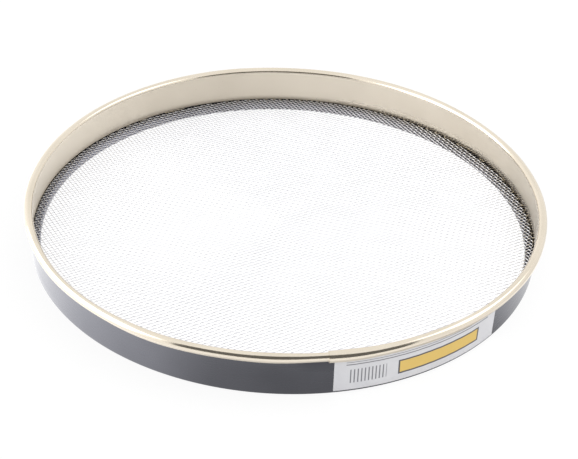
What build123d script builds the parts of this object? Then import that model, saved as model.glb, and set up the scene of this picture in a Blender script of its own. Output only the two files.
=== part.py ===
from build123d import *
import math
import os

# A drum sieve of thin sheet. The outer hoop's foot is rolled inward and carries a woven wire cloth.
# The inner hoop stands on the cloth and its top edge is curled outward over the outer hoop's edge.
# The origin is the centre of the surface that the sieve stands on, with +Z up.
# The side with the label faces -Y.

# Driving sizes, in millimetres and degrees
wall_diameter = 380.0
sieve_height = 36.2
sheet = 0.4
rim_bead_diameter = 6.8
foot_roll_width = 6.8
foot_roll_height = 6.9
foot_bend_radius = 1.5
foot_tuck_length = 1.2
wire_diameter = 0.5

# Most that the straight steps of a bend lie inside its true arc
bend_chord_error = 0.12

# Clearances between the pieces
hoop_clearance = 0.05
rim_tuck_clearance = 0.15
rim_head_clearance = 0.3
roll_tuck_clearance = 0.1
cloth_edge_clearance = 0.3
glue_thickness = 0.05

# Wire cloth, as a coarse net of the real cloth's thickness, wire direction and weight
net_pitch = 21.0
net_strand_width = 1.4
net_selvage_width = 1.6
net_turn = 31.0
net_least_gap_share = 0.12

# Laps where the ends of the two strips overlap
lap_length = 9.0
lap_root_share = 0.5
inner_lap_angle = -80.4
outer_lap_angle = 97.0
lap_top_clearance = 0.25
weld_spot_count = 3
weld_spot_diameter = 2.6
weld_spot_depth = 0.12

# Paper label
label_length = 130.7
label_thickness = 0.15
label_base_height = 2.1
label_top_clearance = 0.25
label_angle = -59.3

# Places worked out from the sizes
wall_radius = wall_diameter / 2
foot_top_width = foot_roll_width - sheet - roll_tuck_clearance
cloth_base = foot_roll_height
cloth_thickness = 2 * wire_diameter
cloth_top = cloth_base + cloth_thickness
cloth_radius = wall_radius - sheet - cloth_edge_clearance
inner_face_radius = wall_radius - 2 * sheet - hoop_clearance
bead_radius = rim_bead_diameter / 2
bead_centre_radius = inner_face_radius + bead_radius
bead_centre_height = sieve_height - bead_radius
tuck_radius = wall_radius + rim_tuck_clearance
bead_bottom = sieve_height - rim_bead_diameter
outer_hoop_top = bead_centre_height - rim_head_clearance
lap_thickness = (1 + lap_root_share) * sheet
label_height = bead_bottom - label_top_clearance - label_base_height


def bend_steps(radius, turn):
    """Number of straight steps that stand for a bend within the allowed chord error."""
    widest = 2 * math.degrees(math.acos(1 - bend_chord_error / radius))
    return math.ceil(turn / widest)


def rolled_strip(start, heading, moves, thickness):
    """Section of a bent strip, from the show face inward on the right of its heading.

    Each move is a straight length, or a bend as a radius of the show face and a turn to the right.
    """
    show = []
    back = []

    def place_points(x, z, angle):
        show.append((x, z))
        rad = math.radians(angle)
        back.append((x + thickness * math.sin(rad), z - thickness * math.cos(rad)))

    x, z = start
    angle = heading
    place_points(x, z, angle)
    for move in moves:
        if isinstance(move, tuple):
            radius, turn = move
            centre_x = x + radius * math.sin(math.radians(angle))
            centre_z = z - radius * math.cos(math.radians(angle))
            steps = bend_steps(radius, turn)
            for step in range(steps):
                angle -= turn / steps
                x = centre_x - radius * math.sin(math.radians(angle))
                z = centre_z + radius * math.cos(math.radians(angle))
                place_points(x, z, angle)
        else:
            x += move * math.cos(math.radians(angle))
            z += move * math.sin(math.radians(angle))
            place_points(x, z, angle)
    return Plane.XZ * make_face(Polyline(show + back[::-1], close=True))


def turned(section, start_angle, sweep):
    """The section swept about the sieve's axis."""
    return Rot(0, 0, start_angle) * revolve(section, Axis.Z, sweep)


def rim_moves(lift):
    """Inner hoop's strip, lifted off its show face by lift, from the cloth up and round the bead."""
    radius = bead_radius + lift
    tuck_turn = math.degrees(math.asin((bead_centre_radius - tuck_radius) / radius))
    return [bead_centre_height - cloth_top, (radius, 270), (radius, tuck_turn)]


def foot_moves():
    """Outer hoop's strip, from its top edge down the wall and round the foot roll."""
    return [
        outer_hoop_top - foot_bend_radius,
        (foot_bend_radius, 90),
        foot_roll_width - 2 * foot_bend_radius,
        (foot_bend_radius, 90),
        foot_roll_height - 2 * foot_bend_radius,
        (foot_bend_radius, 90),
        foot_top_width - 2 * foot_bend_radius,
        (foot_bend_radius, 90),
        foot_tuck_length,
    ]


def weld_spots(face_radius, face_side, angle, base, top):
    """Shallow dimples of spot welds, in a column up a lap."""
    reach = ((weld_spot_diameter / 2) ** 2 + weld_spot_depth**2) / (2 * weld_spot_depth)
    centre_radius = face_radius + face_side * (reach - weld_spot_depth)
    spots = []
    for spot in range(weld_spot_count):
        height = base + (top - base) * (spot + 1) / (weld_spot_count + 1)
        spots.append(Rot(0, 0, angle) * Pos(centre_radius, 0, height) * Sphere(reach))
    return spots


def lap_sweep(radius):
    """Angle that a lap takes up on a face of this radius."""
    return math.degrees(lap_length / radius)


def inner_hoop():
    """Lacquered hoop with its outward curl, and the lapped end that shows as a step in the rim."""
    start = (inner_face_radius, cloth_top)
    ring = turned(rolled_strip(start, 90, rim_moves(0), sheet), 0, 360)
    lap_face_radius = inner_face_radius - sheet
    lap_start = (lap_face_radius, cloth_top)
    sweep = lap_sweep(inner_face_radius)
    lap_section = rolled_strip(lap_start, 90, rim_moves(sheet), lap_thickness)
    lap = turned(lap_section, inner_lap_angle, sweep)
    middle = inner_lap_angle + sweep / 2
    hoop = ring + lap
    for spot in weld_spots(lap_face_radius, -1, middle, cloth_top, bead_centre_height):
        hoop -= spot
    return hoop


def outer_hoop():
    """Bare hoop with its rolled foot, and the lapped end up its wall, notched clear of the rim."""
    ring = turned(rolled_strip((wall_radius, outer_hoop_top), -90, foot_moves(), sheet), 0, 360)
    lap_top = bead_bottom - lap_top_clearance
    lap_height = lap_top - foot_bend_radius
    sweep = lap_sweep(wall_radius)
    lap_face_radius = wall_radius + sheet
    lap_section = rolled_strip((lap_face_radius, lap_top), -90, [lap_height], lap_thickness)
    lap = turned(lap_section, outer_lap_angle, sweep)
    middle = outer_lap_angle + sweep / 2
    hoop = ring + lap
    for spot in weld_spots(lap_face_radius, 1, middle, foot_bend_radius, lap_top):
        hoop -= spot
    return hoop


def wire_mesh():
    """Wire cloth as one holed sheet, its edge left whole as the selvage that the hoops trap."""
    open_radius = cloth_radius - net_selvage_width
    gap = net_pitch - net_strand_width
    reach = math.ceil(open_radius / net_pitch)
    opening = Circle(open_radius)
    sheet_face = Circle(cloth_radius)
    gaps = []
    for column in range(-reach, reach + 1):
        for row in range(-reach, reach + 1):
            square = Pos(column * net_pitch, row * net_pitch) * Rectangle(gap, gap)
            nearest = math.hypot(column * net_pitch, row * net_pitch) - gap
            if nearest > open_radius:
                continue
            cell = square & opening
            if cell is not None and cell.area > net_least_gap_share * gap**2:
                gaps.append(cell)
    print("net gaps", len(gaps))
    net = sheet_face - gaps
    return Pos(0, 0, cloth_base) * Rot(0, 0, net_turn) * extrude(net, cloth_thickness)


def label():
    """Paper label, wrapped on the wall under the rim."""
    base_radius = wall_radius + glue_thickness
    section = rolled_strip(
        (base_radius + label_thickness, label_base_height + label_height),
        -90,
        [label_height],
        label_thickness,
    )
    sweep = math.degrees(label_length / base_radius)
    return turned(section, label_angle - sweep / 2, sweep)


os.makedirs("parts", exist_ok=True)
pieces = {
    "inner_hoop": inner_hoop(),
    "outer_hoop": outer_hoop(),
    "wire_mesh": wire_mesh(),
    "label": label(),
}
for name, piece in pieces.items():
    export_step(piece, f"parts/{name}.step")
    print(name, round(piece.volume), "mm3")
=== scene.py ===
import math
from types import SimpleNamespace

import bpy
import numpy as np
from mathutils import Matrix, Vector


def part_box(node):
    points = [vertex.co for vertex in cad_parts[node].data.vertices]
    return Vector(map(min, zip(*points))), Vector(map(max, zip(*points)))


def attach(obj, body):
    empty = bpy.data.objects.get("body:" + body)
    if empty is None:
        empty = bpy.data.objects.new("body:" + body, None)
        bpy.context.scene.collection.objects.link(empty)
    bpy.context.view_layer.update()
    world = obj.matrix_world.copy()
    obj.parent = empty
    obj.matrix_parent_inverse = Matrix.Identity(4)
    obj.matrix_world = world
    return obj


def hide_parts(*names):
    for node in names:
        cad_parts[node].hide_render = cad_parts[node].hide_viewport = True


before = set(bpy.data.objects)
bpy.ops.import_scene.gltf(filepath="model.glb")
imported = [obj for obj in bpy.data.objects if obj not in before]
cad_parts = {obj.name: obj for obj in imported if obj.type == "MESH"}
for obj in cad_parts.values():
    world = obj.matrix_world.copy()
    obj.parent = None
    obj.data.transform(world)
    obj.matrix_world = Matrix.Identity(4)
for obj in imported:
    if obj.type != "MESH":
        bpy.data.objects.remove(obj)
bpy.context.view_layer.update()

# Lengths are in metres, and angles in degrees but for these two, which are in radians
mm = 0.001
half_turn = math.pi
whole_turn = 2 * math.pi

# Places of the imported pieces
cloth_low, cloth_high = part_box("wire_mesh")
_, foot_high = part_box("outer_hoop")
label_low, label_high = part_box("label")
wall_radius = foot_high.x
cloth_radius = cloth_high.x
cloth_base = cloth_low.z
cloth_top = cloth_high.z
cloth_middle = (cloth_base + cloth_top) / 2
outer_hoop_top = foot_high.z
label_base = label_low.z
label_top = label_high.z

# Sheet and its bends
sheet = 0.4 * mm
hoop_clearance = 0.05 * mm
tuck_clearance = 0.15 * mm
bead_radius = 3.4 * mm
bead_turn = 270
sieve_height = 36.2 * mm
foot_bend_radius = 1.5 * mm
foot_roll_width = 6.8 * mm
foot_tuck_length = 1.2 * mm
foot_tuck_gap = 0.1 * mm
bead_bottom = sieve_height - 2 * bead_radius
inner_face_radius = wall_radius - 2 * sheet - hoop_clearance
bead_centre_radius = inner_face_radius + bead_radius
bead_centre_height = sieve_height - bead_radius

# Laps of the two strips, and the spot welds that hold them
lap_length = 9.0 * mm
lap_ease = 26.0 * mm
lap_edge_ease = 0.4 * mm
inner_lap_angle = -80.4
outer_lap_angle = 97.0
inner_lap_rise = 0.33 * mm
lap_top_clearance = 0.25 * mm
outer_lap_top = bead_bottom - lap_top_clearance
lap_swell = 0.7 * mm
lap_swell_ease = 60.0 * mm
weld_spot_count = 3
weld_spot_radius = 1.3 * mm
weld_spot_depth = 0.12 * mm

# Mesh of the hoops: stations round them, levels up the wall and steps of a bend
rim_stations = 800
foot_stations = 720
wall_levels = 7
bend_step = 10.0
least_bend_steps = 2
back_face_step = 2
sharp_angle = 50

# Finer mesh over the laps and their spot welds. Room and reach are counted in spot radii, and steps
# in degrees.
spot_levels = 8
spot_reach = 1.1
spot_room = 1.2
lap_stations = 13
lap_reach = 1.5
lap_end_step = 0.004
least_step = 0.1

# How near to a face of the wall a point counts as on it
on_face = 0.01 * mm

# How far the rim stands out of the true round, by azimuth, in millimetres outward
rim_lean = (
    (0, -0.3),
    (12, -1.0),
    (30, -1.4),
    (50, -0.2),
    (76, 0.2),
    (90, -0.1),
    (106, 0.5),
    (118, -0.2),
    (135, -1.7),
    (155, -2.9),
    (172, -3.3),
    (190, -2.6),
    (203, -1.6),
    (217, 0.1),
    (234, 0.6),
    (246, 1.4),
    (258, 0.1),
    (268, -0.4),
    (277, -1.3),
    (290, -0.8),
    (300, -0.7),
    (313, 0.4),
    (332, 0.7),
    (345, -0.1),
)

# How much thicker or thinner the bead is rolled, by azimuth, in millimetres of its radius
bead_swell = (
    (0, 0.0),
    (150, 0.0),
    (175, -0.15),
    (217, -0.4),
    (232, -0.45),
    (241, 0.1),
    (262, -0.15),
    (270, 0.1),
    (276, -0.5),
    (279, -0.55),
    (284, -0.1),
    (313, 0.0),
    (325, -0.15),
    (345, 0.0),
)

# Curves through these tables: their step, and over how many steps each way they are smoothed
curve_step = 0.5
curve_reach = 10

# Where the swell sets in below the bead's middle, and how little of it thins the bead's wall side
swell_start = -5.0 * mm
swell_full = -2.0 * mm
wall_side_depth = 0.6 * mm
wall_side_share = 0.3
least_swell_reach = 0.1 * mm

# Waves round the bare wall: height in millimetres, count and start, over a slight hollow
wall_waves = (
    (0.04, 7, 1.3),
    (0.02, 17, 0.4),
)
wall_hollow = 0.06

# Wire cloth
wire_pitch = 3.0 * mm
wire_radius = 0.25 * mm
wire_direction = 31.0
wire_sides = 6
steps_per_pitch = 3
least_wire_steps = 2
bands_per_direction = 4
rounding_error = 1e-9

# Wires out of true: each one's shift and bow, and the range of the bow's radians per metre and start
weave_seed = 517
seed_step = 1000
wire_shift = 0.03 * mm
wire_bow = 0.03 * mm
bow_waves = (15, 40)
bow_start = (0, 6)

# Slow drift of the cloth: height in millimetres, radians per metre along x and y, and start
drift_east = (
    (0.35, 41, 23, 0.5),
    (0.25, -31, 67, 1.9),
)
drift_north = (
    (0.35, -29, 37, 2.6),
    (0.25, 71, 19, 0.2),
)

# Sag of the cloth: depth and wave in millimetres, radians per metre and start of the wave,
# and the shares of the radius between which the cloth passes from free to held
sag_depth = 0.10
sag_wave = 0.12
sag_along_x = (33, 1.0)
sag_along_y = (29, 0.4)
sag_free = 0.75
sag_held = 0.96

# Label, with the glue under it, and the room for the puckers of its paper
label_angle = -59.3
label_length = 130.7 * mm
label_height = label_top - label_base
label_thickness = 0.15 * mm
glue_thickness = 0.05 * mm
pucker_room = 0.06 * mm
label_held_edge = 3 * mm
label_columns = 160
label_rows = 26

# Puckers and ripples of the paper: height in millimetres, and radians over its length and height
pucker = 0.05
pucker_along = (37, 1)
pucker_up = (5, 2)
ripple = 0.04
ripple_along = 90
ripple_up = 7

# Print of the label in millimetres from its lower left corner, each part from and to
print_softness = 0.12
bar_along = (46.0, 112.0)
bar_up = (6.5, 15.5)
border_along = (44.8, 113.2)
border_up = (5.3, 16.7)
rules_along = (8.0, 122.0)
rules_up = ((20.2, 20.9), (22.2, 22.6))
ticks_along = (10.0, 36.25)
ticks_up = (5.5, 16.5)
tick_half_pitch = 1.25
tick_edge = (0.75, 0.95)
ink_strength = 0.85
ink_colour = (0.10, 0.10, 0.12)
bar_colour = (0.80, 0.56, 0.16)
paper_whites = ((0.71, 0.71, 0.74), (0.75, 0.75, 0.775))
paper_roughness = (0.42, 0.55)

# Noise of the surfaces: scale per metre and detail. Rolling lines first have how much they are
# squeezed in height.
lacquer_rolling = (14.0, 60.0, 3.0)
lacquer_cloud = (22.0, 2.0)
lacquer_fleck = (900.0, 1.0)
tin_rolling = (30.0, 45.0, 4.0, 0.6)
tin_cloud = (30.0, 3.0)
wire_cloud = (45.0, 3.0)
wire_grain = (1500.0, 2.0)
paper_fibre = (1400.0, 3.0)
paper_cloud = (60.0, 2.0)
floor_grain = (400.0, 3.0)

# Ranges of the noise over which a look changes
wide_range = (0.3, 0.7)
close_range = (0.35, 0.65)
fleck_range = (0.72, 0.80)

# Stretches over which a look sets in, as metres east of the axis on the wall, from and to
far_left = (-120.0 * mm, -170.0 * mm)
mid_wall_east = (-60.0 * mm, 10.0 * mm)
right_side = (10.0 * mm, 110.0 * mm)
left_roll = (-60.0 * mm, -150.0 * mm)
left_wires = (-90.0 * mm, -160.0 * mm)

# Lacquer: its clouds and flecks, painted light and painted shade on the wall, and a painted reflection
# on the bead's outside under its middle
lacquer_creams = ((0.700, 0.630, 0.520), (0.740, 0.668, 0.558))
fleck_colour = (0.42, 0.36, 0.27)
fleck_strength = 0.35
# Paler cream painted on stretches of the wall as light
painted_light_cream = (0.800, 0.725, 0.605)
# Brown painted on the wall along the cloth as shade
painted_shade_brown = (0.36, 0.30, 0.21)
# Pale cream painted on the bead's outside under its middle as a reflection of the bright floor
painted_reflection_cream = (0.95, 0.86, 0.73)
wall_under_bead = (bead_centre_height + 1.4 * mm, bead_centre_height)
outside_bead = (inner_face_radius + 3.4 * mm, inner_face_radius + 5.0 * mm)
# Painted shade along the cloth: the heights over which it sets in, its share, and how much more it has
# at the right
shade_height_along_cloth = (12.0 * mm, 8.5 * mm)
shade_share_along_cloth = 0.30
more_shade_share_at_right = 0.40

# Roughness of the lacquer, with what the wall adds and what its glossier foot at the right takes off
lacquer_roughness = (0.11, 0.15)
cloud_roughness = 0.03
wall_roughness = 0.17
glossy_foot = 0.15
glossy_foot_height = (16.0 * mm, 9.0 * mm)

# How much the tin shows through the lacquer, how much less on the wall and on its far left end, and
# how much less of that cover there is at the right
tin_through_lacquer = 0.92
wall_cover = (0.47, 0.84)
right_cover_less = 0.40

# Tin, and the foot roll's top under the cloth: duller, painted near black as shade, and paler at the
# left as painted light
tin_greys = ((0.190, 0.192, 0.216), (0.206, 0.208, 0.234))
shaded_roll_greys = ((0.026, 0.026, 0.033), (0.052, 0.052, 0.064))
lit_left_roll_grey = (0.15, 0.15, 0.185)
roll_inward = (wall_radius - 0.5 * mm, wall_radius - 1.2 * mm)
roll_height = (0.6 * mm, 1.6 * mm)
tin_roughness = (0.24, 0.28)
roll_roughness = 0.16

# Wire: two greys of each direction, the warp painted darker as shade and the weft paler as lit, a
# touch of blue, and paler wires at the left as painted light
shaded_warp_lit_weft_greys = {
    "warp": (0.54, 0.62),
    "weft": (0.82, 0.88),
}
wire_blue = 0.03
lit_left_wire_grey = (0.90, 0.90, 0.92)
lit_left_wire_share = 0.5
wire_roughness = (0.28, 0.40)

# Wires over the foot roll: painted dark as shade with painted highlights on the knuckles, and painted
# brown where they meet the wall as a reflection of the lacquer
over_roll = (179.0 * mm, 182.0 * mm)
at_wall = (187.6 * mm, 189.0 * mm)
knuckle_height = (cloth_top - 0.50 * mm, cloth_top - 0.15 * mm)
shaded_wire_grey = (0.38, 0.38, 0.42)
knuckle_highlight = (1.0, 1.0, 1.0)
lacquer_reflection_on_wire = (0.50, 0.42, 0.28)

# Bump of the surfaces: depth and strength
lacquer_bump = (0.02 * mm, 0.4)
tin_bump = (0.02 * mm, 0.25)
paper_bump = (0.01 * mm, 0.5)

# Camera of the photograph, fitted to the rim, the wall and the cloth
photo_width = 578
photo_height = 459
focal_length_px = 1377.1
origin_px = (283.55, 229.22)
camera_distance = 1.054
camera_elevation = 34.66
camera_roll = 2.18
sensor_width = 36.0

# Sky: its brightness to matt surfaces, with its gain to the right, and in metal, with its gain to
# the left
sky_light = 0.96
sky_slope = 0.12
mirrored_sky = 1.12
mirrored_sky_slope = 0.3

# Dark screen on the camera's side: its brightness in metal, colour and corners
dark_side_strength = 0.09
dark_side_colour = (1, 0.97, 0.92, 1)
dark_side_corners = (
    (-0.45, -0.70, 0.11),
    (0.72, -0.70, 0.11),
    (0.48, -0.33, 0.51),
    (-0.26, -0.33, 0.51),
)

# Floor: its glow to the camera outside and under the cloth, brighter under the cloth as painted light,
# and the share of glow in what shows
floor_reach = 3.0
floor_glow = 1.04
floor_glow_lit_under_cloth = 1.2
floor_glow_share = 0.85
floor_whites = ((0.93, 0.93, 0.93), (0.95, 0.95, 0.95))

# Floor in metal: how bright it is under the cloth, raised there as painted light, and how far from the
# axis the next parts begin
mirrored_lit_under_cloth = 1.2
floor_under = (wall_radius - 1 * mm, wall_radius - 2 * mm)
floor_far = (wall_radius + 38 * mm, wall_radius + 52 * mm)

# Floor in metal near the wall and farther off, by azimuth counted from -X by way of -Y: a painted
# shadow of the sieve in front and painted light toward the left
mirrored_near_shadow_and_light = (
    (0, 2.0),
    (20, 1.87),
    (33, 1.80),
    (43, 1.50),
    (62, 1.06),
    (76, 0.55),
    (90, 0.43),
    (110, 0.43),
    (125, 0.45),
    (140, 0.51),
    (150, 0.92),
    (165, 1.2),
    (210, 1.1),
    (320, 1.5),
    (360, 2.0),
)
mirrored_far_light = (
    (0, 1.5),
    (35, 1.5),
    (60, 1.15),
    (100, 1.05),
    (210, 1.0),
    (300, 1.1),
    (330, 1.5),
    (360, 1.5),
)


def smooth_step(low, high, value):
    """0 below low, 1 above high, with an eased rise between."""
    share = np.clip((value - low) / (high - low), 0, 1)
    return share * share * (3 - 2 * share)


def wave(value, rate, start):
    """Sine wave of a value, with its rate in radians for each unit of the value."""
    return np.sin(value * rate + start)


def closed_grid_mesh(name, points):
    """Mesh object of a grid of points, rows by columns, that closes on itself both ways."""
    rows, columns = points.shape[:2]
    index = np.arange(rows * columns).reshape(rows, columns)
    index = np.vstack([index, index[:1]])
    index = np.hstack([index, index[:, :1]])
    return quad_mesh(name, points.reshape(-1, 3), grid_quads(index))


def grid_quads(index):
    """Four-sided faces between neighbours in a grid of point numbers."""
    quads = np.stack([index[:-1, :-1], index[1:, :-1], index[1:, 1:], index[:-1, 1:]], -1)
    return quads.reshape(-1, 4)


def quad_mesh(name, points, quads):
    """Smooth shaded mesh object of these points and four-sided faces."""
    mesh = bpy.data.meshes.new(name)
    mesh.vertices.add(len(points))
    mesh.vertices.foreach_set("co", np.asarray(points, np.float32).ravel())
    mesh.loops.add(quads.size)
    mesh.loops.foreach_set("vertex_index", quads.ravel().astype(np.int32))
    mesh.polygons.add(len(quads))
    mesh.polygons.foreach_set("loop_start", np.arange(0, quads.size, 4, dtype=np.int32))
    mesh.polygons.foreach_set("loop_total", np.full(len(quads), 4, np.int32))
    mesh.polygons.foreach_set("use_smooth", np.ones(len(quads), bool))
    mesh.update(calc_edges=True)
    mesh.validate()
    piece = bpy.data.objects.new(name, mesh)
    bpy.context.scene.collection.objects.link(piece)
    return piece


def strip_section(start, heading, moves):
    """Points of a bent strip's show face, with the directions in which that face looks.

    Each move is a straight length, or a bend as a radius of the show face and a turn to the right.
    """
    x, z = start
    angle = heading
    points = [(x, z)]
    looks = [heading]
    for move in moves:
        if isinstance(move, tuple):
            radius, turn = move
            centre_x = x + radius * math.sin(math.radians(angle))
            centre_z = z - radius * math.cos(math.radians(angle))
            steps = max(least_bend_steps, math.ceil(turn / bend_step))
            for _ in range(steps):
                angle -= turn / steps
                x = centre_x - radius * math.sin(math.radians(angle))
                z = centre_z + radius * math.cos(math.radians(angle))
                points.append((x, z))
                looks.append(angle)
        else:
            x += move * math.cos(math.radians(angle))
            z += move * math.sin(math.radians(angle))
            points.append((x, z))
            looks.append(angle)
    looks = np.radians(looks)
    faces = np.stack([-np.sin(looks), np.cos(looks)], -1)
    return np.array(points), faces


def round_table(table, angles):
    """Values of a table by azimuth, in metres, joined by a smooth curve."""
    fine = np.arange(round(360 / curve_step)) * curve_step
    places = [place for place, _ in table] + [360]
    values = [value for _, value in table] + [table[0][1]]
    curve = np.interp(fine, places, values)
    weights = np.hanning(2 * curve_reach + 3)[1:-1]
    spread = np.concatenate([curve[-curve_reach:], curve, curve[:curve_reach]])
    curve = np.convolve(spread, weights / weights.sum(), "valid")
    return np.interp(angles % 360, np.append(fine, 360), np.append(curve, curve[0])) * mm


def lean(angles, heights):
    """Outward shift of the sheet, none at the cloth and the whole of the rim's at the top."""
    share = np.clip((heights - cloth_base) / (sieve_height - cloth_base), 0, 1)
    return round_table(rim_lean, angles) * share


def lap_sweep(radius):
    """Angle that a lap takes up on a face of this radius."""
    return math.degrees(lap_length / radius)


def over_lap(angles, lap_angle, radius, ease):
    """1 over the lap, from its sharp end, and easing to 0 behind it."""
    along = np.radians((angles - lap_angle) % 360) * radius
    return 1 - smooth_step(lap_length, lap_length + ease, along)


def spot_heights(base, top):
    """Heights of the spot welds, evenly spaced up a lap from base to top."""
    parts = weld_spot_count + 1
    return [base + (top - base) * part / parts for part in range(1, parts)]


def weld_dents(angles, lap_angle, radius, heights, base, top):
    """Depth of the spot welds' shallow round dents, in a column up the middle of a lap."""
    lap_middle = lap_angle + lap_sweep(radius) / 2
    along = np.radians((angles - lap_middle + 180) % 360 - 180) * radius
    depth = 0
    for spot_height in spot_heights(base, top):
        away = np.hypot(along, heights - spot_height) / weld_spot_radius
        depth = depth + weld_spot_depth * np.clip(1 - away**2, 0, 1)
    return depth


def wall_steps(start, end, base, top):
    """Lengths that divide the wall, short ones over the spot welds, on the way from start to end."""
    places = list(np.linspace(min(start, end), max(start, end), wall_levels))
    room = spot_room * weld_spot_radius
    fine = np.linspace(-spot_reach, spot_reach, spot_levels) * weld_spot_radius
    for spot_height in spot_heights(base, top):
        places = [place for place in places if abs(place - spot_height) > room]
        places += list(spot_height + fine)
    lengths = np.diff(np.sort(places))
    return list(lengths if end > start else lengths[::-1])


def hoop_angles(count, lap_angle, radius):
    """Stations round a hoop, close together over the spot welds and closest at the lap's end."""
    even = np.arange(count) * 360 / count
    lap = lap_angle % 360
    spot_sweep = math.degrees(weld_spot_radius / radius)
    fine = np.linspace(-lap_reach, lap_reach, lap_stations) * spot_sweep
    dense = lap + lap_sweep(radius) / 2 + fine
    taken = np.concatenate([dense, [lap - lap_end_step, lap + lap_end_step]])
    apart = [np.min(np.abs((taken - angle + 180) % 360 - 180)) for angle in even]
    near = even[np.array(apart) > least_step]
    return np.sort(np.concatenate([near, taken % 360]))


def hoop(name, show, faces, angles, lift, shift):
    """Hoop of bent sheet. Lift raises points of the show face, and shift moves the whole section."""
    turns = np.broadcast_to(angles[:, None], (len(angles), len(show)))
    front = show[None] + faces[None] * lift(turns, show)[..., None]
    some = np.unique(np.append(np.arange(0, len(show), back_face_step), len(show) - 1))
    back = np.repeat((show - faces * sheet)[None, some], len(angles), 0)
    section = np.concatenate([front, back[:, ::-1]], 1)
    section = section + shift(section, angles[:, None])
    turn = np.radians(angles)[:, None]
    x = section[..., 0] * np.cos(turn)
    y = section[..., 0] * np.sin(turn)
    piece = closed_grid_mesh(name, np.stack([x, y, section[..., 1]], -1))
    piece.data.set_sharp_from_angle(angle=math.radians(sharp_angle))
    return piece


def rim_lift(angles, show):
    """Rise of the lacquered face over the lap, less the dents of the spot welds."""
    rise = inner_lap_rise * over_lap(angles, inner_lap_angle, inner_face_radius, lap_ease)
    on_wall = np.abs(show[:, 0] - inner_face_radius) < on_face
    dents = weld_dents(
        angles, inner_lap_angle, inner_face_radius, show[:, 1], cloth_top, bead_centre_height
    )
    return rise - dents * on_wall


def rim_shift(section, angles):
    """Lean of the inner hoop, and the bead's uneven rolling, which never raises its top."""
    radial = lean(angles, section[..., 1])
    swell = round_table(bead_swell, angles)
    swell = swell + lap_swell * over_lap(angles, inner_lap_angle, inner_face_radius, lap_swell_ease)
    out = section[..., 0] - bead_centre_radius
    up = section[..., 1] - bead_centre_height
    away = np.hypot(out, up)
    share = np.clip(away / bead_radius, 0, 1) * smooth_step(swell_start, swell_full, up)
    span = np.maximum(away, least_swell_reach)
    whole = (out > wall_side_depth - bead_radius) | (swell > 0)
    radial = radial + swell * share * out / span * np.where(whole, 1.0, wall_side_share)
    upward = swell * share * np.where(swell > 0, np.minimum(up, 0), up) / span
    return np.stack([radial, upward], -1)


def wall_lift(angles, show):
    """Rise of the bare wall over its lap, which stops short of the rim and the foot's bend."""
    heights = show[:, 1]
    on_wall = np.abs(show[:, 0] - wall_radius) < on_face
    on_lap = on_wall * smooth_step(outer_lap_top + lap_edge_ease, outer_lap_top, heights)
    on_lap = on_lap * smooth_step(foot_bend_radius, foot_bend_radius + lap_edge_ease, heights)
    rise = sheet * over_lap(angles, outer_lap_angle, wall_radius, lap_ease)
    dents = weld_dents(
        angles, outer_lap_angle, wall_radius, heights, foot_bend_radius, outer_lap_top
    )
    return rise * on_lap - dents * on_wall


def wall_shift(section, angles):
    """Lean of the outer hoop, which the rim carries along, and slight waves of its wall."""
    turn = np.radians(angles)
    mid_wall = np.sin(half_turn * np.clip(section[..., 1] / outer_hoop_top, 0, 1))
    waves = sum(size * wave(turn, count, start) for size, count, start in wall_waves)
    radial = lean(angles, section[..., 1]) + (waves - wall_hollow) * mm * mid_wall
    return np.stack([radial, 0 * radial], -1)


def make_rim_hoop():
    """Inner hoop: lacquered wall with its outward bead."""
    tuck_reach = bead_centre_radius - wall_radius - tuck_clearance
    tuck_turn = math.degrees(math.asin(tuck_reach / bead_radius))
    moves = wall_steps(cloth_top, bead_centre_height, cloth_top, bead_centre_height)
    moves += [(bead_radius, bead_turn), (bead_radius, tuck_turn)]
    show, faces = strip_section((inner_face_radius, cloth_top), 90, moves)
    angles = hoop_angles(rim_stations, inner_lap_angle, inner_face_radius)
    return hoop("rim_hoop", show, faces, angles, rim_lift, rim_shift)


def make_foot_hoop():
    """Outer hoop: bare wall with its foot rolled inward under the cloth."""
    bend = (foot_bend_radius, 90)
    top_width = foot_roll_width - sheet - foot_tuck_gap
    moves = wall_steps(outer_hoop_top, foot_bend_radius, foot_bend_radius, outer_lap_top)
    for straight in (foot_roll_width, cloth_base, top_width):
        moves += [bend, straight - 2 * foot_bend_radius]
    moves += [bend, foot_tuck_length]
    show, faces = strip_section((wall_radius, outer_hoop_top), -90, moves)
    angles = hoop_angles(foot_stations, outer_lap_angle, wall_radius)
    return hoop("foot_hoop", show, faces, angles, wall_lift, wall_shift)


def cloth_drift(waves, x, y):
    """Slow drift of the wires from a true grid, as the cloth was pulled in weaving and clamping."""
    drift = 0
    for size, along_x, along_y, start in waves:
        drift = drift + size * np.sin(x * along_x + y * along_y + start)
    return drift * mm


def cloth_sag(x, y):
    """Slight hollows of the stretched cloth, none at its clamped edge."""
    free = 1 - smooth_step(sag_free, sag_held, np.hypot(x, y) / cloth_radius)
    return (sag_wave * wave(x, *sag_along_x) * wave(y, *sag_along_y) - sag_depth) * mm * free


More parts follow.
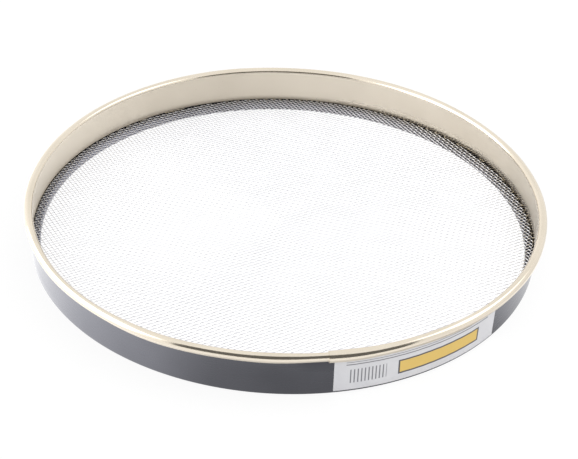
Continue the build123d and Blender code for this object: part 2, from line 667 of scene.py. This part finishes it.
def wire_middle(line, across, steps, rng):
    """Points along the middle of one crimped wire. Line is its number in the weave."""
    turn = math.radians(wire_direction + 90 * across)
    ahead = np.array([math.cos(turn), math.sin(turn)])
    side = np.array([-ahead[1], ahead[0]])
    place = np.arange(-steps, steps + 1) * wire_pitch / steps_per_pitch
    shift = wire_shift * rng.standard_normal()
    bow = wire_bow * np.sin(place * rng.uniform(*bow_waves) + rng.uniform(*bow_start))
    flat = place[:, None] * ahead + (line * wire_pitch + shift + bow)[:, None] * side
    x = flat[:, 0] + cloth_drift(drift_east, flat[:, 0], flat[:, 1])
    y = flat[:, 1] + cloth_drift(drift_north, flat[:, 0], flat[:, 1])
    over_first = (1 - 2 * (line % 2)) * (1 - 2 * across)
    crimp = over_first * np.cos(half_turn * place / wire_pitch) * wire_radius
    centre = np.stack([x, y, cloth_middle + crimp + cloth_sag(x, y)], -1)
    return centre[np.hypot(x, y) < cloth_radius]


def wire_tube(centre):
    """Rings of points round the middle of a wire."""
    along = np.gradient(centre, axis=0)
    along /= np.linalg.norm(along, axis=1)[:, None]
    level = np.cross(np.array([0.0, 0.0, 1.0]), along)
    level /= np.linalg.norm(level, axis=1)[:, None]
    up = np.cross(along, level)
    spokes = np.arange(wire_sides) * whole_turn / wire_sides
    ring = np.cos(spokes)[:, None, None] * level + np.sin(spokes)[:, None, None] * up
    return centre[:, None] + wire_radius * ring.transpose(1, 0, 2)


def woven_wires(name, lines, across):
    """Crimped wires of one direction, as tubes. Each line is the wire's number in the weave."""
    rng = np.random.default_rng(weave_seed + seed_step * across + int(lines[0]))
    points = []
    quads = []
    start = 0
    for line in lines:
        reach = math.sqrt(max(cloth_radius**2 - (line * wire_pitch) ** 2, 0))
        steps = math.floor(reach / wire_pitch * steps_per_pitch)
        if steps < least_wire_steps:
            continue
        tube = wire_tube(wire_middle(line, across, steps, rng))
        count = tube.shape[0] * wire_sides
        index = start + np.arange(count).reshape(-1, wire_sides)
        around = np.roll(index, -1, 1)
        quads.append(np.stack([index[:-1], around[:-1], around[1:], index[1:]], -1).reshape(-1, 4))
        points.append(tube.reshape(-1, 3))
        start += count
    return quad_mesh(name, np.concatenate(points), np.concatenate(quads))


def make_wires(direction, across):
    """All wires of one direction of the cloth, in bands of about the same length of wire."""
    reach = math.floor(cloth_radius / wire_pitch)
    lines = np.arange(-reach, reach + 1)
    lengths = np.sqrt(np.maximum(cloth_radius**2 - (lines * wire_pitch) ** 2, 0))
    share = np.cumsum(lengths) / np.sum(lengths)
    wires = []
    for band in range(bands_per_direction):
        above = share > band / bands_per_direction
        below = share <= (band + 1) / bands_per_direction + rounding_error
        wires.append(woven_wires(f"{direction}_wires_{band + 1}", lines[above & below], across))
    return wires


def make_label():
    """Paper label that follows the wall, with its own flat coordinates for the print."""
    along = np.linspace(0, 1, label_columns)
    up = np.linspace(0, 1, label_rows)
    u, v = np.meshgrid(along, up, indexing="ij")
    puckers = pucker * wave(u, *pucker_along) * wave(v, *pucker_up)
    puckers = puckers + ripple * np.sin(u * ripple_along + v * ripple_up)
    edge = np.minimum(np.minimum(u, 1 - u) * label_length, np.minimum(v, 1 - v) * label_height)
    lift = puckers * mm * smooth_step(0, label_held_edge, edge)
    back = np.full(u.shape, wall_radius + glue_thickness)
    front = back + label_thickness + pucker_room + lift
    turn = np.radians(label_angle) + (u - 0.5) * label_length / wall_radius
    z = label_base + v * label_height
    shift = lean(np.degrees(turn), z)
    faces = []
    for radius in (front + shift, back + shift):
        face = np.stack([radius * np.cos(turn), radius * np.sin(turn), z], -1)
        faces.append(face.reshape(-1, 3))
    index = np.arange(label_columns * label_rows).reshape(label_columns, label_rows)
    far = index + label_columns * label_rows
    quads = [grid_quads(index), grid_quads(far)[:, [0, 3, 2, 1]]]
    for line, away in ((0, True), (-1, False)):
        sides = [index[:-1, line], index[1:, line], far[1:, line], far[:-1, line]]
        quads.append(np.stack(sides[::-1] if away else sides, -1))
        ends = [index[line, :-1], index[line, 1:], far[line, 1:], far[line, :-1]]
        quads.append(np.stack(ends if away else ends[::-1], -1))
    piece = quad_mesh("paper_label", np.concatenate(faces), np.concatenate(quads))
    piece.data.set_sharp_from_angle(angle=math.radians(sharp_angle))
    add_flat_coordinates(piece, np.tile(np.stack([u, v], -1).reshape(-1, 2), (2, 1)))
    return piece


def add_flat_coordinates(piece, flat):
    """Gives a piece the coordinates of its print, from a pair for each of its points."""
    corners = np.zeros(len(piece.data.loops), np.int32)
    piece.data.loops.foreach_get("vertex_index", corners)
    layer = piece.data.uv_layers.new(name="print")
    layer.data.foreach_set("uv", flat[corners].astype(np.float32).ravel())


class Nodes:
    """Short ways to add and join the nodes of one tree."""

    def __init__(self, tree):
        self.tree = tree
        tree.nodes.clear()

    def add(self, kind, inputs=None, **settings):
        """New node, with values or links for its inputs."""
        node = self.tree.nodes.new(kind)
        for key, value in settings.items():
            setattr(node, key, value)
        for key, value in (inputs or {}).items():
            self.put(value, node.inputs[key])
        return node

    def put(self, value, socket):
        """Links a socket into another, or sets that one's own value."""
        if isinstance(value, bpy.types.NodeSocket):
            self.tree.links.new(value, socket)
        else:
            socket.default_value = value

    def math(self, operation, *values, clamp=False):
        """Result of one operation on numbers."""
        inputs = dict(enumerate(values))
        node = self.add("ShaderNodeMath", inputs, operation=operation, use_clamp=clamp)
        return node.outputs[0]

    def ramp(self, value, stops):
        """Grey from stops of a place from 0 to 1 and a brightness, with straight runs between."""
        node = self.add("ShaderNodeValToRGB", {0: value})
        points = node.color_ramp.elements
        while len(points) < len(stops):
            points.new(0.5)
        for point, (place, grey) in zip(points, stops):
            point.position = place
            point.color = (grey, grey, grey, 1)
        return node.outputs[0]

    def mix(self, share, first, second):
        """Colour between the first, at a share of 0, and the second, at a share of 1."""
        node = self.add("ShaderNodeMix", data_type="RGBA")
        self.put(share, node.inputs[0])
        for value, socket in ((first, node.inputs[6]), (second, node.inputs[7])):
            self.put((*value, 1) if isinstance(value, tuple) else value, socket)
        return node.outputs[2]

    def blend(self, share, first, second):
        """Number between the first, at a share of 0, and the second, at a share of 1."""
        way = self.math("SUBTRACT", second, first)
        return self.math("ADD", first, self.math("MULTIPLY", share, way))

    def span(self, value, low, high, to_low=0.0, to_high=1.0):
        """Value taken from one range to another, held at its ends."""
        inputs = {"Value": value, "From Min": low, "From Max": high}
        inputs |= {"To Min": to_low, "To Max": to_high}
        return self.add("ShaderNodeMapRange", inputs).outputs[0]

    def band(self, value, low, high, soft):
        """1 between low and high and 0 outside, with soft sides."""
        rise = self.span(value, low - soft, low + soft)
        fall = self.span(value, high - soft, high + soft)
        return self.math("SUBTRACT", rise, fall, clamp=True)

    def noise(self, vector, scale, detail, roughness=0.5):
        """Noise from 0 to 1, with a scale in cells per metre."""
        inputs = {"Vector": vector, "Scale": scale, "Detail": detail, "Roughness": roughness}
        return self.add("ShaderNodeTexNoise", inputs).outputs[0]

    def length(self, first, second):
        """Length of a vector of two parts."""
        squares = [self.math("MULTIPLY", part, part) for part in (first, second)]
        return self.math("SQRT", self.math("ADD", *squares))

    def places(self):
        """Radius and height of a point, and how far east and north its azimuth lies on the wall."""
        spot = self.add("ShaderNodeTexCoord").outputs["Object"]
        x, y, height = self.add("ShaderNodeSeparateXYZ", {0: spot}).outputs
        turn = self.math("ARCTAN2", y, x)
        return SimpleNamespace(
            spot=spot,
            radius=self.length(x, y),
            height=height,
            east=self.math("MULTIPLY", self.math("COSINE", turn), wall_radius),
            north=self.math("MULTIPLY", self.math("SINE", turn), wall_radius),
        )

    def rolling_lines(self, place, squeeze, scale, detail, roughness=0.5):
        """Noise that is drawn out round the hoop, as sheet is by rolling."""
        squeezed = self.math("MULTIPLY", place.height, squeeze)
        parts = {0: place.east, 1: place.north, 2: squeezed}
        vector = self.add("ShaderNodeCombineXYZ", parts).outputs[0]
        return self.noise(vector, scale, detail, roughness)

    def bump(self, height, depth, strength):
        """Normal of a surface with this fine relief."""
        inputs = {"Height": height, "Distance": depth, "Strength": strength}
        return self.add("ShaderNodeBump", inputs).outputs[0]

    def surface(self, shader):
        """Makes a shader the look of the material."""
        self.add("ShaderNodeOutputMaterial", {"Surface": shader.outputs[0]})

    def principled(self, inputs):
        """Makes a principled shader with these inputs the look of the material."""
        self.surface(self.add("ShaderNodeBsdfPrincipled", inputs))


def new_material(name):
    """Empty material and its nodes."""
    material = bpy.data.materials.new(name)
    material.use_nodes = True
    return material, Nodes(material.node_tree)


def lacquer_material():
    """Cream lacquer baked over tin, with faint rolling lines, clouds and small flecks.

    The wall is duller than the bead. Paler cream is painted on stretches of the wall as light, brown
    along the cloth as shade, most of all at the right, and pale cream on the bead's lower outside as a
    painted reflection.
    """
    material, nodes = new_material("cream_lacquer")
    place = nodes.places()
    rolling = nodes.rolling_lines(place, *lacquer_rolling)
    cloud = nodes.noise(place.spot, *lacquer_cloud)
    fleck = nodes.noise(place.spot, *lacquer_fleck)
    on_wall = nodes.span(place.height, *wall_under_bead)
    at_right = nodes.span(place.east, *right_side)

    colour = nodes.mix(nodes.span(cloud, *close_range), *lacquer_creams)
    colour = nodes.mix(nodes.span(fleck, *fleck_range, 0.0, fleck_strength), colour, fleck_colour)
    # Painted light: paler cream on the wall in the middle stretch and at the far left
    painted_light_middle = nodes.math("SUBTRACT", nodes.span(place.east, *mid_wall_east), at_right)
    painted_light_share = nodes.math("MAXIMUM", painted_light_middle, nodes.span(place.east, *far_left))
    colour = nodes.mix(nodes.math("MULTIPLY", on_wall, painted_light_share), colour, painted_light_cream)
    # Painted reflection: pale cream on the bead's outside under its middle
    outside = nodes.math("MULTIPLY", on_wall, nodes.span(place.radius, *outside_bead))
    colour = nodes.mix(outside, colour, painted_reflection_cream)
    # Painted shade: brown on the wall along the cloth, deepest at the right
    painted_shade_share = nodes.math("ADD", shade_share_along_cloth, nodes.math("MULTIPLY", at_right, more_shade_share_at_right))
    painted_shade_share = nodes.math("MULTIPLY", painted_shade_share, nodes.span(place.height, *shade_height_along_cloth))
    colour = nodes.mix(painted_shade_share, colour, painted_shade_brown)

    rough = nodes.span(rolling, *wide_range, *lacquer_roughness)
    rough = nodes.math("ADD", rough, nodes.span(cloud, *wide_range, 0.0, cloud_roughness))
    rough = nodes.math("ADD", rough, nodes.math("MULTIPLY", on_wall, wall_roughness))
    foot = nodes.math("MULTIPLY", at_right, nodes.span(place.height, *glossy_foot_height))
    rough = nodes.math("SUBTRACT", rough, nodes.math("MULTIPLY", foot, glossy_foot))

    cover = nodes.span(place.east, *far_left, *wall_cover)
    cover = nodes.math("SUBTRACT", cover, nodes.math("MULTIPLY", at_right, right_cover_less))
    metal = nodes.math("SUBTRACT", tin_through_lacquer, nodes.math("MULTIPLY", on_wall, cover))
    normal = nodes.bump(rolling, *lacquer_bump)
    nodes.principled({"Base Color": colour, "Metallic": metal, "Roughness": rough, "Normal": normal})
    return material


def tinplate_material():
    """Bare tinned sheet with rolling lines round the hoop. The foot roll's top under the cloth is
    duller, painted near black as shade, and paler at the left as painted light.
    """
    material, nodes = new_material("bare_tinplate")
    place = nodes.places()
    rolling = nodes.rolling_lines(place, *tin_rolling)
    cloud = nodes.noise(place.spot, *tin_cloud)
    inward = nodes.span(place.radius, *roll_inward)
    # The roll's top under the cloth: duller, painted near black as shade, and paler at the left as
    # painted light
    dull_and_shaded_roll_top = nodes.math("MULTIPLY", inward, nodes.span(place.height, *roll_height))
    wall = nodes.mix(nodes.span(cloud, *wide_range), *tin_greys)
    roll = nodes.mix(nodes.span(cloud, *close_range), *shaded_roll_greys)
    roll = nodes.mix(nodes.span(place.east, *left_roll), roll, lit_left_roll_grey)
    colour = nodes.mix(dull_and_shaded_roll_top, wall, roll)
    rough = nodes.span(rolling, *wide_range, *tin_roughness)
    rough = nodes.math("ADD", rough, nodes.math("MULTIPLY", dull_and_shaded_roll_top, roll_roughness))
    normal = nodes.bump(rolling, *tin_bump)
    nodes.principled({"Base Color": colour, "Metallic": 1.0, "Roughness": rough, "Normal": normal})
    return material


def wire_material(name, dark_grey, light_grey):
    """Drawn tinned wire, cloudy between two greys. Over the foot roll it is painted dark as shade,
    with painted highlights on its knuckles and a painted reflection of the lacquer by the wall.
    """
    material, nodes = new_material(name)
    place = nodes.places()
    cloud = nodes.noise(place.spot, *wire_cloud)
    grain = nodes.noise(place.spot, *wire_grain)
    greys = [(grey, grey, grey + wire_blue) for grey in (dark_grey, light_grey)]
    colour = nodes.mix(nodes.span(cloud, *close_range), *greys)
    # Painted light: paler wires at the left
    lit_left_side = nodes.span(place.east, *left_wires, 0.0, lit_left_wire_share)
    colour = nodes.mix(lit_left_side, colour, lit_left_wire_grey)
    # Painted light over the foot roll: shaded wire, highlighted knuckles, and the lacquer's reflection
    # by the wall
    painted_light_over_roll = nodes.mix(nodes.span(place.height, *knuckle_height), shaded_wire_grey, knuckle_highlight)
    painted_light_over_roll = nodes.mix(nodes.span(place.radius, *at_wall), painted_light_over_roll, lacquer_reflection_on_wire)
    colour = nodes.mix(nodes.span(place.radius, *over_roll), colour, painted_light_over_roll)
    rough = nodes.span(grain, *wide_range, *wire_roughness)
    nodes.principled({"Base Color": colour, "Metallic": 1.0, "Roughness": rough})
    return material


def paper_material():
    """Coated paper with a plain print: yellow bar in a dark border, two rules and a row of ticks."""
    material, nodes = new_material("printed_paper")
    flat = nodes.add("ShaderNodeUVMap", uv_map="print").outputs[0]
    parts = nodes.add("ShaderNodeSeparateXYZ", {0: flat}).outputs
    along = nodes.math("MULTIPLY", parts[0], label_length / mm)
    up = nodes.math("MULTIPLY", parts[1], label_height / mm)
    spot = nodes.add("ShaderNodeTexCoord").outputs["Object"]
    fibre = nodes.noise(spot, *paper_fibre)
    cloud = nodes.noise(spot, *paper_cloud)

    def box(along_ends, up_ends):
        """1 inside a box of the print and 0 outside."""
        across = nodes.band(along, *along_ends, print_softness)
        return nodes.math("MULTIPLY", across, nodes.band(up, *up_ends, print_softness))

    rules = nodes.math("ADD", *[box(rules_along, ends) for ends in rules_up], clamp=True)
    teeth = nodes.span(nodes.math("PINGPONG", along, tick_half_pitch), *tick_edge)
    ticks = nodes.math("MULTIPLY", teeth, box(ticks_along, ticks_up))
    ink = nodes.math("ADD", rules, ticks, clamp=True)
    colour = nodes.mix(nodes.span(cloud, *wide_range), *paper_whites)
    colour = nodes.mix(box(border_along, border_up), colour, ink_colour)
    colour = nodes.mix(box(bar_along, bar_up), colour, bar_colour)
    colour = nodes.mix(nodes.math("MULTIPLY", ink, ink_strength), colour, ink_colour)
    rough = nodes.span(fibre, *wide_range, *paper_roughness)
    normal = nodes.bump(fibre, *paper_bump)
    nodes.principled({"Base Color": colour, "Roughness": rough, "Normal": normal})
    return material


def make_world():
    """White background. Matt surfaces get a little more light from the right, metal from the left."""
    world = bpy.data.worlds.new("studio")
    world.use_nodes = True
    bpy.context.scene.world = world
    nodes = Nodes(world.node_tree)
    path = nodes.add("ShaderNodeLightPath").outputs
    toward = nodes.add("ShaderNodeTexCoord").outputs["Generated"]
    x = nodes.add("ShaderNodeSeparateXYZ", {0: toward}).outputs[0]
    left = nodes.math("MAXIMUM", nodes.math("MULTIPLY", x, -1.0), 0.0)
    mirrored = nodes.math("ADD", nodes.math("MULTIPLY", left, mirrored_sky_slope), mirrored_sky)
    shown = nodes.math("ADD", path["Is Camera Ray"], path["Is Transmission Ray"], clamp=True)
    matt_light = nodes.math("ADD", sky_light, nodes.math("MULTIPLY", x, sky_slope))
    strength = nodes.blend(shown, matt_light, 1.0)
    strength = nodes.blend(path["Is Glossy Ray"], strength, mirrored)
    shader = nodes.add("ShaderNodeBackground", {"Color": (1, 1, 1, 1), "Strength": strength})
    nodes.add("ShaderNodeOutputWorld", {"Surface": shader.outputs[0]})


def by_azimuth(nodes, share, table):
    """Brightness from a table by azimuth. The ramp itself holds half of each value."""
    half = [(azimuth / 360, look / 2) for azimuth, look in table]
    return nodes.math("MULTIPLY", nodes.ramp(share, half), 2.0)


def floor_material():
    """Pale floor that shows white and keeps a soft shadow. Metal mirrors it with a painted shadow of
    the sieve in front and painted light toward the left, and it glows brighter under the cloth as
    painted light.
    """
    material, nodes = new_material("pale_floor")
    path = nodes.add("ShaderNodeLightPath").outputs
    geometry = nodes.add("ShaderNodeNewGeometry").outputs
    x, y, _ = nodes.add("ShaderNodeSeparateXYZ", {0: geometry["Position"]}).outputs
    radius = nodes.length(x, y)
    turn = nodes.math("ADD", nodes.math("ARCTAN2", y, x), half_turn)
    share = nodes.math("DIVIDE", turn, whole_turn)
    # Painted shadow of the sieve in front, and painted light toward the left, as metal sees the floor
    near = by_azimuth(nodes, share, mirrored_near_shadow_and_light)
    far = by_azimuth(nodes, share, mirrored_far_light)
    under = nodes.span(radius, *floor_under)
    mirrored = nodes.blend(nodes.span(radius, *floor_far), near, far)
    # Painted light: under the cloth the floor is brighter, both to metal and to the camera
    mirrored = nodes.blend(under, mirrored, mirrored_lit_under_cloth)
    shown = nodes.blend(under, floor_glow, floor_glow_lit_under_cloth)
    strength = nodes.blend(path["Is Glossy Ray"], shown, mirrored)
    glow = nodes.add("ShaderNodeEmission", {"Strength": strength})
    grain = nodes.noise(geometry["Position"], *floor_grain)
    white = nodes.mix(nodes.span(grain, *wide_range), *floor_whites)
    matt = nodes.add("ShaderNodeBsdfDiffuse", {"Color": white})
    glow_share = nodes.math("MULTIPLY", path["Is Camera Ray"], floor_glow_share)
    glow_share = nodes.math("ADD", glow_share, path["Is Glossy Ray"], clamp=True)
    glow_share = nodes.math("ADD", glow_share, path["Is Transmission Ray"], clamp=True)
    top = nodes.add("ShaderNodeMixShader", {0: glow_share, 1: matt.outputs[0], 2: glow.outputs[0]})
    clear = nodes.add("ShaderNodeBsdfTransparent")
    sides = {0: geometry["Backfacing"], 1: top.outputs[0], 2: clear.outputs[0]}
    nodes.surface(nodes.add("ShaderNodeMixShader", sides))
    return material


def stage_quad(name, corners, material):
    """Flat four-sided piece of the studio."""
    piece = quad_mesh(name, np.array(corners, float), np.array([[0, 1, 2, 3]]))
    piece.data.materials.append(material)
    return piece


def make_floor():
    """Floor on which the sieve stands. From below it is clear."""
    sides = ((-1, -1), (1, -1), (1, 1), (-1, 1))
    corners = [(x * floor_reach, y * floor_reach, 0) for x, y in sides]
    stage_quad("floor", corners, floor_material())


def make_dark_side():
    """Dark screen on the camera's side, which only metal mirrors."""
    material, nodes = new_material("dark_screen")
    inputs = {"Color": dark_side_colour, "Strength": dark_side_strength}
    nodes.surface(nodes.add("ShaderNodeEmission", inputs))
    screen = stage_quad("dark_screen", dark_side_corners, material)
    screen.visible_camera = False
    screen.visible_diffuse = False
    screen.visible_transmission = False
    screen.visible_shadow = False


def area_lamp(name, place, target, width, height, radiance):
    """Soft box of a given size and brightness, turned to its target."""
    lamp = bpy.data.lights.new(name, "AREA")
    lamp.shape = "RECTANGLE"
    lamp.size = width
    lamp.size_y = height
    lamp.energy = radiance * half_turn * width * height
    lamp_object = bpy.data.objects.new(name, lamp)
    bpy.context.scene.collection.objects.link(lamp_object)
    lamp_object.location = place
    away = Vector(target) - Vector(place)
    lamp_object.rotation_euler = away.to_track_quat("-Z", "Y").to_euler()
    lamp_object.visible_camera = False
    return lamp_object


def make_lamps():
    """Large soft box at the left, for gloss alone, and a smaller one above the right."""
    left = area_lamp(
        "left_softbox",
        place=(-1.0, -0.02, 0.50),
        target=(0, 0, 0.03),
        width=1.4,
        height=1.05,
        radiance=2.3,
    )
    left.visible_diffuse = False
    area_lamp(
        "right_softbox",
        place=(0.87, 0.15, 0.95),
        target=(0, 0, 0),
        width=0.9,
        height=0.55,
        radiance=1.5,
    )


def make_camera():
    """Camera of the photograph, with the frame's origin at its pixel."""
    elevation = math.radians(camera_elevation)
    roll = math.radians(camera_roll)
    back = Vector((0, -math.cos(elevation), math.sin(elevation)))
    right = Vector((1, 0, 0))
    up = back.cross(right)
    columns = (
        math.cos(roll) * right + math.sin(roll) * up,
        math.cos(roll) * up - math.sin(roll) * right,
        back,
    )
    aimed = Matrix(columns).transposed()
    off_x = (origin_px[0] - photo_width / 2) / focal_length_px
    off_y = (photo_height / 2 - origin_px[1]) / focal_length_px
    to_origin = Vector((off_x, off_y, -1))
    turned = Vector((0, 0, -1)).rotation_difference(to_origin).to_matrix()
    lens = bpy.data.cameras.new("camera")
    lens.sensor_fit = "HORIZONTAL"
    lens.sensor_width = sensor_width
    lens.lens = focal_length_px / photo_width * sensor_width
    camera = bpy.data.objects.new("camera", lens)
    bpy.context.scene.collection.objects.link(camera)
    rotation = aimed @ turned.transposed()
    camera.matrix_world = Matrix.Translation(back * camera_distance) @ rotation.to_4x4()
    bpy.context.scene.camera = camera


def dress(piece, material, node):
    """Gives a piece its material and its place in the frame."""
    piece.data.materials.append(material)
    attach(piece, "root")
    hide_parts(node)


dress(make_rim_hoop(), lacquer_material(), "inner_hoop")
dress(make_foot_hoop(), tinplate_material(), "outer_hoop")
# The warp wires are painted darker as shade and the weft wires paler as lit
for across, (direction, greys) in enumerate(shaded_warp_lit_weft_greys.items()):
    wire_look = wire_material(f"{direction}_wire", *greys)
    for wires in make_wires(direction, across):
        dress(wires, wire_look, "wire_mesh")
dress(make_label(), paper_material(), "label")

make_world()
make_floor()
make_lamps()
make_dark_side()
make_camera()
bpy.context.scene.view_settings.view_transform = "Standard"
